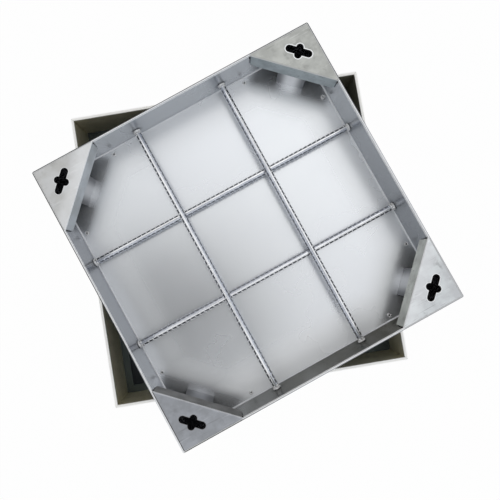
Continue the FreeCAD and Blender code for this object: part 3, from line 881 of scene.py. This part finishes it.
# Dark finish of painted shade for the faces that look into the key boxes' hollows.
KEY_BOX_SHADE = SheetFinish(
    "key_box_painted_shade", (0.25, 0.25, 0.27), (0.18, 0.18, 0.19), (0.3, 0.3, 0.3), 0.5, 0.6)
BAR_STEELS = (
    BarFinish("ribbed_bar_steel", (0.97, 0.97, 0.975), (0.88, 0.885, 0.9), (0.97, 0.97, 0.97), 0.2, 0.28),
    BarFinish("rib_steel", (0.97, 0.97, 0.97), (0.85, 0.85, 0.86), (0.97, 0.97, 0.97), 0.24, 0.36,
              cloud_scale=60.0, scuffs=0.2, metallic=0.5),
    # Painted shade: the flank and ribs towards the tray's middle, and darker on the outer flank between its
    # ribs.
    BarFinish("inner_flank_painted_shade", (0.68, 0.7, 0.75), (0.58, 0.6, 0.66), (0.9, 0.9, 0.9), 0.24, 0.32),
    BarFinish("outer_flank_painted_shade", (0.2, 0.205, 0.225), (0.14, 0.145, 0.16), (0.5, 0.5, 0.5), 0.26, 0.36,
              cloud_scale=60.0),
)
WELD_METAL = SheetFinish(
    "brushed_weld_metal", (0.9, 0.9, 0.9), (0.7, 0.69, 0.68), (0.97, 0.97, 0.97), 0.2, 0.34,
    cloud_scale=160.0, grain_height=0.00005, wave_height=0.0, scuffs=0.1, stains=0.15, metallic=0.35)
# Near-black painted shade for the lip tacks' crevices and the weld buttons' middles.
WELD_SHADE_METAL = SheetFinish(
    "weld_painted_shade", (0.06, 0.06, 0.06), (0.16, 0.155, 0.15), (0.8, 0.8, 0.8), 0.4, 0.55,
    cloud_scale=220.0, grain_height=0.00005, wave_height=0.0, scuffs=0.05)
FRAME_SHEET = FrameFinish(
    "dull_frame_sheet", (0.86, 0.82, 0.72), (0.72, 0.68, 0.57), (0.95, 0.92, 0.85), 0.34, 0.44,
    cloud_scale=14.0, grain_height=0.00002, scuffs=0.15, stains=0.3, metallic=0.6,
    grazing_tint=(0.8, 0.78, 0.7))


def merged_copy(name: str) -> Mesh:
    """Copy of a node's mesh, its corners joined and its flat faces whole.

    Args:
        name: The node.

    Returns:
        The copy.
    """
    mesh = bmesh.new()
    mesh.from_mesh(frame["nodes"][name].data)
    bmesh.ops.remove_doubles(mesh, verts=mesh.verts, dist=JOIN_DISTANCE)
    bmesh.ops.dissolve_limit(mesh, angle_limit=math.radians(FLAT_ANGLE), verts=mesh.verts, edges=mesh.edges)
    return mesh


def placed(name: str, data: bpy.types.ID) -> Piece:
    """New object of the scene, which shows a mesh, camera or lamp."""
    piece = bpy.data.objects.new(name, data)
    bpy.context.scene.collection.objects.link(piece)
    return piece


def from_mesh(name: str, mesh: Mesh) -> Piece:
    """New object of a mesh, which is freed."""
    data = bpy.data.meshes.new(name)
    mesh.to_mesh(data)
    mesh.free()
    return placed(name, data)


def finished(name: str, mesh: Mesh, finish: Material,
             replaced: Iterable[str], smooth_angle: float = 35.0) -> Piece:
    """Object of a finished mesh that rides on the cover.

    Args:
        name: The piece's name.
        mesh: Its mesh in metres, in place; it is freed here.
        finish: Its material.
        replaced: Nodes of the fixed model that it stands for.
        smooth_angle: Edges sharper than this stay sharp, in degrees.

    Returns:
        The piece.
    """
    for face in mesh.faces:
        face.smooth = True
    for edge in mesh.edges:
        edge.smooth = edge.calc_face_angle(0.0) < math.radians(smooth_angle)
    piece = from_mesh(name, mesh)
    piece.data.materials.append(finish)
    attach(piece, BODY)
    if replaced:
        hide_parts(*replaced)
    log.info("%s: %d faces", name, len(piece.data.polygons))
    return piece


@dataclass
class FoldedSheets:
    """Sheet pieces of the cover and its frame, with their cut edges rounded off."""

    edge_round: float = 0.45 * MM
    sharp_angle: float = 40.0
    segments: int = 2
    hollow_width: float = 5.0 * MM
    hollow_facing: float = 0.5
    corner_facing: float = 0.7

    def build(self, node: str, name: str, finish: Material, slot: str) -> Piece:
        """Piece with rounded edges in place of a node.

        Args:
            node: The node of the fixed model.
            name: The new piece's name.
            finish: Its material.
            slot: The record's material slot; not used.

        Returns:
            The piece.
        """
        mesh = merged_copy(node)
        limit = math.radians(self.sharp_angle)
        sharp = [edge for edge in mesh.edges if edge.calc_face_angle(0.0) > limit]
        bmesh.ops.bevel(mesh, geom=sharp, offset=self.edge_round, affect="EDGES", segments=self.segments,
                        profile=0.5, material=-1, clamp_overlap=True)
        piece = finished(name, mesh, finish, [node])
        flat = piece.modifiers.new("flat_faces", "WEIGHTED_NORMAL")
        flat.weight = 100
        flat.keep_sharp = True
        return piece

    def dress(self) -> None:
        """Build the tray pan, the corner plates, the key boxes and the frame's sides."""
        tray, side = TRAY_SHEET.material(), FRAME_SHEET.material()
        box, inside = KEY_BOX_SHEET.material(), KEY_BOX_SHADE.material()
        self.build("tray_pan", "tray_sheet", tray, "tray_steel")
        for corner in CORNERS:
            plate = PLATE_SHEETS[corner].material()
            self.build(f"corner_plate_{corner}", f"plate_sheet_{corner}", plate, "plate_steel")
            channel = self.build(f"key_box_{corner}", f"key_channel_{corner}", box, "key_box_steel")
            # Painted shade on the faces round the key box's hollow.
            self.paint_hollow_shade(channel, inside)
        for part in SIDES:
            self.build(f"frame_side_{part}", f"frame_angle_{part}", side, "frame_steel")

    def paint_hollow_shade(self, channel: Piece, inside: Material) -> None:
        """Give the faces that look into a key box's hollow a dark finish of painted shade.

        Args:
            channel: The key box.
            inside: The painted shade of its hollow.
        """
        channel.data.materials.append(inside)
        points = [vertex.co for vertex in channel.data.vertices]
        middle = sum(points, Vector()) / len(points)
        outward = middle - place_of("tray_pan").centre
        outward.z = 0.0
        outward.normalize()
        for face in channel.data.polygons:
            across = face.normal - outward * face.normal.dot(outward)
            offset = face.center - middle
            offset -= outward * offset.dot(outward)
            offset.z = across.z = 0.0
            beside_hollow = offset.length > self.hollow_width
            faces_hollow = across.dot(offset) < -self.hollow_facing * offset.length
            before_hollow = (face.center - middle).dot(outward) < 0
            faces_corner = face.normal.dot(outward) > self.corner_facing
            if (beside_hollow and faces_hollow) or (before_hollow and faces_corner):
                face.material_index = 1


class BarSlot(IntEnum):
    """Material slots of a ribbed bar, in the order of its steels; the shaded and outer slots hold painted
    shade.
    """

    CORE = 0
    RIB = 1
    SHADED = 2
    OUTER_SHADE = 3


@dataclass
class RibbedBars:
    """Four ribbed bars, each a round core with a rail above and below and leaning ribs on its flanks."""

    core_radius: float = 5.8 * MM
    crest_radius: float = 6.95 * MM
    core_segments: int = 28
    rail_width: float = 2.8 * MM
    rail_round: float = 0.6 * MM
    rib_pitch: float = 10.5 * MM
    rib_foot: float = 3.2 * MM
    rib_crest: float = 1.5 * MM
    rib_sink: float = 0.6 * MM
    rib_span: float = 128.0
    rib_steps: int = 10
    rib_lean: float = 24.0
    swell_power: float = 0.6
    least_lift: float = 0.3 * MM
    plain_end: float = 10.0 * MM
    # How far a face turns towards or away from the middle before it takes painted shade.
    shaded_from: float = 0.3
    outer_shade_from: float = 0.4
    inner_edge_from: float = 0.8

    def rib(self) -> Mesh:
        """One crescent rib on the flank that faces Y, round a bar that lies along X.

        Returns:
            The rib's mesh.
        """
        mesh = bmesh.new()
        foot_radius = self.core_radius - self.rib_sink
        bmesh.ops.create_grid(mesh, x_segments=1, y_segments=1, size=0.5)
        for vertex in mesh.verts:
            on_crest = vertex.co.y > 0
            width = self.rib_crest if on_crest else self.rib_foot
            radius = self.crest_radius if on_crest else foot_radius
            vertex.co = Vector((math.copysign(width / 2, vertex.co.x), radius, 0.0))
        half = math.radians(self.rib_span / 2)
        bmesh.ops.rotate(mesh, verts=mesh.verts, cent=(0, 0, 0), matrix=Matrix.Rotation(-half, 3, "X"))
        profile = mesh.verts[:] + mesh.edges[:] + mesh.faces[:]
        bmesh.ops.spin(mesh, geom=profile, cent=(0, 0, 0), axis=(1, 0, 0), angle=2 * half,
                       steps=self.rib_steps, use_merge=False, use_duplicate=False)
        bmesh.ops.recalc_face_normals(mesh, faces=mesh.faces)
        for face in mesh.faces:
            face.material_index = BarSlot.RIB
        for vertex in mesh.verts:
            angle = math.atan2(vertex.co.z, vertex.co.y)
            radius = math.hypot(vertex.co.z, vertex.co.y)
            fall = math.cos(angle / half * math.pi / 2)
            swell = fall ** self.swell_power if abs(angle) < half else 0.0
            lift = radius - foot_radius
            if lift > self.rib_sink:
                radius = foot_radius + self.least_lift + (lift - self.least_lift) * swell
            vertex.co.x += math.tan(math.radians(self.rib_lean)) * angle * self.core_radius
            vertex.co.y, vertex.co.z = radius * math.cos(angle), radius * math.sin(angle)
        return mesh

    def bar(self, length: float) -> Mesh:
        """Whole bar along X with its middle at the origin.

        Args:
            length: The bar's length.

        Returns:
            The bar's mesh.
        """
        mesh = bmesh.new()
        along_x = Matrix.Rotation(math.pi / 2, 4, "Y")
        bmesh.ops.create_cone(mesh, cap_ends=True, segments=self.core_segments, radius1=self.core_radius,
                              radius2=self.core_radius, depth=length, matrix=along_x)
        size = Matrix.Diagonal((length - self.plain_end, self.rail_width, 2 * self.crest_radius, 1.0))
        rail = bmesh.ops.create_cube(mesh, size=1.0, matrix=size)["verts"]
        edges = dict.fromkeys(edge for vertex in rail for edge in vertex.link_edges)
        bmesh.ops.bevel(mesh, geom=list(edges), offset=self.rail_round, affect="EDGES", segments=2,
                        profile=0.5, material=-1)
        pattern = self.rib()
        template = bpy.data.meshes.new("rib")
        pattern.to_mesh(template)
        pattern.free()
        count = int((length - 2 * self.plain_end) / self.rib_pitch)
        for flank in range(2):
            for index in range(count + 1):
                along = (index - count / 2) * self.rib_pitch
                before = len(mesh.verts)
                mesh.from_mesh(template)
                mesh.verts.ensure_lookup_table()
                matrix = Matrix.Translation((along, 0, 0)) @ Matrix.Rotation(math.pi * flank, 4, "X")
                bmesh.ops.transform(mesh, matrix=matrix, verts=mesh.verts[before:])
        bpy.data.meshes.remove(template)
        return mesh

    def dress(self) -> None:
        """Build the four bars along the fixed model's bars."""
        finish, *further = (steel.material() for steel in BAR_STEELS)
        for node in BARS:
            first, last = bar_ends(node)
            run = last - first
            mesh = self.bar(run.length)
            turn = run.to_track_quat("X", "Z").to_matrix().to_4x4()
            bmesh.ops.transform(mesh, matrix=Matrix.Translation((first + last) / 2) @ turn, verts=mesh.verts)
            mesh.normal_update()
            self.mark_flanks(mesh, first, run)
            piece = finished(f"ribbed_{node}", mesh, finish, [node])
            for material in further:
                piece.data.materials.append(material)

    def mark_flanks(self, mesh: Mesh, first: Vector, run: Vector) -> None:
        """Give a bar's faces their material slots, with painted shade on the flanks by the side of the tray's
        middle.

        Args:
            mesh: The bar in place.
            first: Centre of its first end.
            run: Way from its first end to its last.
        """
        inward = place_of("tray_pan").centre - first - run / 2
        inward -= run * inward.dot(run) / run.length_squared
        inward.z = 0.0
        inward.normalize()
        for face in mesh.faces:
            facing = face.normal.dot(inward)
            offset = (face.calc_center_median() - first).dot(inward)
            # Painted shade on the flanks; ribs on the inner side take it too.
            if face.material_index == BarSlot.CORE:
                if facing > self.inner_edge_from or facing < -self.outer_shade_from:
                    face.material_index = BarSlot.OUTER_SHADE
                elif facing > self.shaded_from:
                    face.material_index = BarSlot.SHADED
            elif offset > 0.0:
                face.material_index = BarSlot.SHADED


@dataclass(frozen=True)
class DropRing:
    """Ring or arc of drops round a bar's end, in millimetres.

    The drops lie a random way outwards along the bar, which is inwards where it is negative.
    """

    drops: int
    sweep: float
    steps: int
    radius: float
    ways: Pair
    sizes: Pair


@dataclass
class WeldMetal:
    """Weld rings, lumps, tacks, buttons and corner beads, laid as overlapping drops."""

    fineness: float = 0.45 * MM
    seed: int = 11
    unevenness: float = 0.12
    unevenness_length: float = 3.0 * MM
    jitter: float = 0.2
    end_rings: tuple[DropRing, ...] = (
        DropRing(9, 2 * math.pi, 9, 4.8, (0.6, 1.2), (2.8, 3.5)),
        DropRing(5, math.pi, 4, 3.9, (-3.0, -4.2), (2.9, 3.3)),
    )
    button_drops: int = 9
    button_steps: int = 11
    button_thickness: float = 1.15
    button_drop: Triple = (1.8, 1.8, 1.0)
    button_sizes: Pair = (0.85, 1.1)
    middle_drop: Triple = (0.4, 0.4, 0.8)
    middle_level: float = 0.2 * MM
    lump_drops: int = 4
    lump_share: float = 0.8
    bead_width: float = 0.9
    bead_height: float = 0.75
    bead_unevenness: float = 0.06

    def __post_init__(self) -> None:
        """Start the drops' own row of random numbers."""
        self.chance = random.Random(self.seed)

    def islands(self, node: str) -> list[Box]:
        """Box of each separate solid of a node.

        Args:
            node: The node of the fixed model.

        Returns:
            The boxes, ordered by their lowest corners.
        """
        mesh = merged_copy(node)
        left = set(mesh.verts)
        boxes = []
        while left:
            reach = [left.pop()]
            group = []
            while reach:
                vertex = reach.pop()
                group.append(vertex.co.copy())
                for edge in vertex.link_edges:
                    other = edge.other_vert(vertex)
                    if other in left:
                        left.remove(other)
                        reach.append(other)
            boxes.append(box_round(group))
        mesh.free()
        return sorted(boxes, key=lambda box: tuple(round(entry, 4) for entry in box.low))

    def drop(self, mesh: Mesh, centre: Vector, size: Vector, unevenness: float | None = None) -> None:
        """Add one drop of metal.

        Args:
            mesh: Where it is added.
            centre: Its centre.
            size: Its half width on each axis.
            unevenness: Share by which its surface swells and sinks, if not the usual one.
        """
        uneven = self.unevenness if unevenness is None else unevenness
        matrix = Matrix.Translation(centre) @ Matrix.Diagonal((*size, 1.0))
        verts = bmesh.ops.create_icosphere(mesh, subdivisions=2, radius=1.0, matrix=matrix)["verts"]
        shift = Vector([self.chance.uniform(-50, 50) for _ in range(3)])
        for vertex in verts:
            swell = 1.0 + uneven * noise.noise(vertex.co / self.unevenness_length + shift)
            vertex.co = centre + (vertex.co - centre) * swell

    def laid(self, name: str, mesh: Mesh, finish: Material, node: str, stands_for: bool = True) -> None:
        """Piece whose drops have run into each other.

        Args:
            name: The piece's name.
            mesh: Its drops.
            finish: Its material.
            node: The node whose place it fills.
            stands_for: Whether it replaces that node.
        """
        box = place_of(node)
        for vertex in mesh.verts:
            for axis in range(3):
                least, most = box.low[axis] + self.fineness, box.high[axis] - self.fineness
                vertex.co[axis] = min(max(vertex.co[axis], least), most)
        replaced = [node] if stands_for else []
        piece = finished(name, mesh, finish, replaced, smooth_angle=180.0)
        run = piece.modifiers.new("run_together", "REMESH")
        run.mode = "VOXEL"
        run.voxel_size = self.fineness
        run.use_smooth_shade = True

    def rings(self) -> Mesh:
        """Rings of drops round the bars' ends."""
        mesh = bmesh.new()
        for box in self.islands("bar_end_welds"):
            along = 0 if box.half.x < box.half.y else 1
            outward = 1.0 if box.centre[along] > 0 else -1.0
            for ring in self.end_rings:
                for index in range(ring.drops):
                    angle = ring.sweep * (index + self.chance.uniform(-self.jitter, self.jitter)) / ring.steps
                    place = box.centre
                    place[along] += outward * self.chance.uniform(*ring.ways) * MM
                    place[1 - along] += ring.radius * MM * math.cos(angle)
                    place[2] += ring.radius * MM * math.sin(angle)
                    size = Vector([self.chance.uniform(*ring.sizes) * MM for _ in range(3)])
                    self.drop(mesh, place, size)
        return mesh

    def buttons(self) -> Mesh:
        """Plug welds on the tray's floor: an open ring of drops round a low middle."""
        mesh = bmesh.new()
        for box in self.islands("floor_weld_buttons"):
            thick = box.half.z * self.button_thickness
            ring = box.half.x - 2 * thick
            start = self.chance.uniform(0, 2 * math.pi)
            for index in range(self.button_drops):
                angle = start + 2 * math.pi * index / self.button_steps
                place = Vector((math.cos(angle), math.sin(angle), 0.0)) * ring
                place += Vector((box.centre.x, box.centre.y, box.low.z + thick / 2))
                size = Vector(self.button_drop) * thick * self.chance.uniform(*self.button_sizes)
                self.drop(mesh, place, size)
        return mesh

    def button_middles(self) -> Mesh:
        """Low middles inside the buttons' rings, in painted shade."""
        mesh = bmesh.new()
        for box in self.islands("floor_weld_buttons"):
            size = Vector([entry * share for entry, share in zip(box.half, self.middle_drop)])
            self.drop(mesh, Vector((box.centre.x, box.centre.y, box.low.z + self.middle_level)), size)
        return mesh

    def lumps(self, node: str) -> Mesh:
        """Small heaps of drops that fill the place of a node's solids.

        Args:
            node: The node of the fixed model.

        Returns:
            The heaps.
        """
        mesh = bmesh.new()
        share = self.lump_share
        for box in self.islands(node):
            for _ in range(self.lump_drops):
                shift = Vector([self.chance.uniform(-1, 1) * (1 - share) * entry for entry in box.half])
                self.drop(mesh, box.centre + shift, box.half * share)
        return mesh

    def beads(self, node: str, pitch: float) -> Mesh:
        """Upright beads with a ripple for each step of the torch.

        Args:
            node: The node of the fixed model.
            pitch: Distance from ripple to ripple.

        Returns:
            The beads.
        """
        mesh = bmesh.new()
        for box in self.islands(node):
            height = box.high.z - box.low.z
            steps = int(height / pitch)
            wide, deep = box.half.x * self.bead_width, box.half.y * self.bead_width
            for index in range(steps):
                level = box.low.z + pitch / 2 + (height - pitch) * index / (steps - 1)
                spot = Vector((box.centre.x, box.centre.y, level))
                self.drop(mesh, spot, Vector((wide, deep, pitch * self.bead_height)), self.bead_unevenness)
        return mesh

    def dress(self) -> None:
        """Lay every weld of the cover and its frame."""
        finish, weld_shade = WELD_METAL.material(), WELD_SHADE_METAL.material()
        self.laid("end_weld_rings", self.rings(), finish, "bar_end_welds")
        self.laid("crossing_weld_lumps", self.lumps("bar_crossing_welds"), finish, "bar_crossing_welds")
        # The lip tacks here and the buttons' middles below are laid in painted shade.
        self.laid("lip_tacks", self.lumps("lip_tack_welds"), weld_shade, "lip_tack_welds")
        self.laid("weld_buttons", self.buttons(), finish, "floor_weld_buttons")
        self.laid("weld_button_middles", self.button_middles(), weld_shade, "floor_weld_buttons", stands_for=False)
        for part, pitch in (("tray", 2.5 * MM), ("frame", 3.5 * MM)):
            node = f"{part}_corner_welds"
            self.laid(f"{part}_seam_beads", self.beads(node, pitch), finish, node)


@dataclass(frozen=True)
class DimSpot:
    """Dim part of the sky: its direction, its reach in degrees and what is left of the light there."""

    direction: Triple
    angle: float
    shade: float


@dataclass
class Studio:
    """Pale floor, soft light from above and the camera of the photo's view."""

    camera_place: Triple = (-27.2 * MM, -49.0 * MM, 1071.5 * MM)
    camera_turn: Triple = (2.214, 0.265, -28.956)
    camera_shift: Pair = (0.0296, -0.0066)
    lens: float = 34.2
    lamp_place: Triple = (0.5, 0.3, 2.6)
    lamp_size: float = 1.6
    lamp_power: float = 2.0
    floor_size: float = 8.0
    floor_glow: float = 0.97
    floor_colour: Colour = (0.86, 0.86, 0.86)
    # Dark ground inside the frame, which is painted shade.
    frame_shade_ground_colour: Colour = (0.04, 0.045, 0.05)
    ground_half: float = 298.0 * MM
    dim_spots: tuple[DimSpot, ...] = (
        DimSpot((-0.18, -0.05, 0.98), 16.5, 0.08),
        DimSpot((0.03, 0.0, 1.0), 16.0, 0.74),
    )
    sky: Colour = (0.92, 0.935, 0.955)
    cool_side: Colour = (0.5, 0.54, 0.585)
    warm_side: Colour = (0.42, 0.4, 0.38)
    side_range: Pair = (-0.2, 0.6)
    sky_range: Pair = (0.3, 0.8)

    def make_camera(self) -> None:
        """Camera nearly straight above the cover."""
        camera = bpy.data.cameras.new("camera")
        camera.lens = self.lens
        camera.sensor_width = 36.0
        camera.shift_x, camera.shift_y = self.camera_shift
        camera.clip_start = 0.05
        holder = placed("camera", camera)
        holder.location = self.camera_place
        holder.rotation_euler = [math.radians(angle) for angle in self.camera_turn]
        bpy.context.scene.camera = holder

    def make_world(self) -> None:
        """Soft light from above with dim spots, and dim sides that are warmer behind the cover."""
        world = bpy.data.worlds.new("studio")
        bpy.context.scene.world = world
        world.use_nodes = True
        graph = Graph(world.node_tree, "Generated")
        _, to_rear, upwards = graph.parts(graph.place)
        side = graph.blend(graph.spread(to_rear, *self.side_range), self.cool_side, self.warm_side)
        light = graph.blend(graph.spread(upwards, *self.sky_range), side, self.sky)
        shade = 1.0
        for spot in self.dim_spots:
            near = graph.measure("DOT_PRODUCT", graph.place, Vector(spot.direction).normalized())
            dim = graph.spread(near, math.cos(math.radians(spot.angle)), 1.0, 1.0, spot.shade)
            shade = graph.product(shade, dim)
        seen = graph.add("ShaderNodeLightPath").outputs["Is Camera Ray"]
        colour = graph.blend(seen, light, (1.0, 1.0, 1.0))
        level = graph.larger(shade, seen)
        background = graph.add("ShaderNodeBackground", {"Color": colour, "Strength": level})
        graph.add("ShaderNodeOutputWorld", {0: background.outputs[0]})

    def make_floor(self) -> None:
        """Pale floor that is white round the cover and dark with painted shade inside its frame."""
        mesh = bmesh.new()
        bmesh.ops.create_grid(mesh, x_segments=1, y_segments=1, size=self.floor_size / 2)
        floor = from_mesh("floor", mesh)
        material = bpy.data.materials.new("floor")
        material.use_nodes = True
        graph = Graph(material.node_tree)
        ray = graph.add("ShaderNodeLightPath").outputs
        outside = graph.above(frame_reach(graph), self.ground_half)
        seen = graph.larger(ray["Is Camera Ray"], ray["Is Glossy Ray"], ray["Is Transmission Ray"])
        share = graph.product(seen, outside, self.floor_glow)
        # Pale floor outside the frame, painted shade inside it.
        floor_and_shade_colour = graph.blend(outside, self.frame_shade_ground_colour, self.floor_colour)
        plain = graph.add("ShaderNodeBsdfDiffuse", {"Color": floor_and_shade_colour})
        white = graph.add("ShaderNodeEmission", {"Color": (1.0, 1.0, 1.0, 1.0), "Strength": 1.0})
        mixed = graph.add("ShaderNodeMixShader", {0: share, 1: plain.outputs[0], 2: white.outputs[0]})
        graph.add("ShaderNodeOutputMaterial", {0: mixed.outputs[0]})
        floor.data.materials.append(material)

    def make_lamps(self) -> None:
        """One soft lamp overhead, a little to the right."""
        lamp = bpy.data.lights.new("soft_lamp", "AREA")
        lamp.shape = "RECTANGLE"
        lamp.size = self.lamp_size
        lamp.size_y = self.lamp_size
        lamp.energy = self.lamp_power
        holder = placed("soft_lamp", lamp)
        holder.location = self.lamp_place
        holder.rotation_euler = (-holder.location).to_track_quat("-Z", "Y").to_euler()

    def build(self) -> None:
        """Set up the whole studio."""
        scene = bpy.context.scene
        scene.view_settings.view_transform = "Standard"
        self.make_camera()
        self.make_world()
        self.make_floor()
        self.make_lamps()


def main() -> None:
    """Build the studio and every piece of the cover."""
    logging.basicConfig(level=logging.INFO, format="%(name)s: %(message)s")
    Studio().build()
    FoldedSheets().dress()
    RibbedBars().dress()
    WeldMetal().dress()


if __name__ == "__main__":
    main()
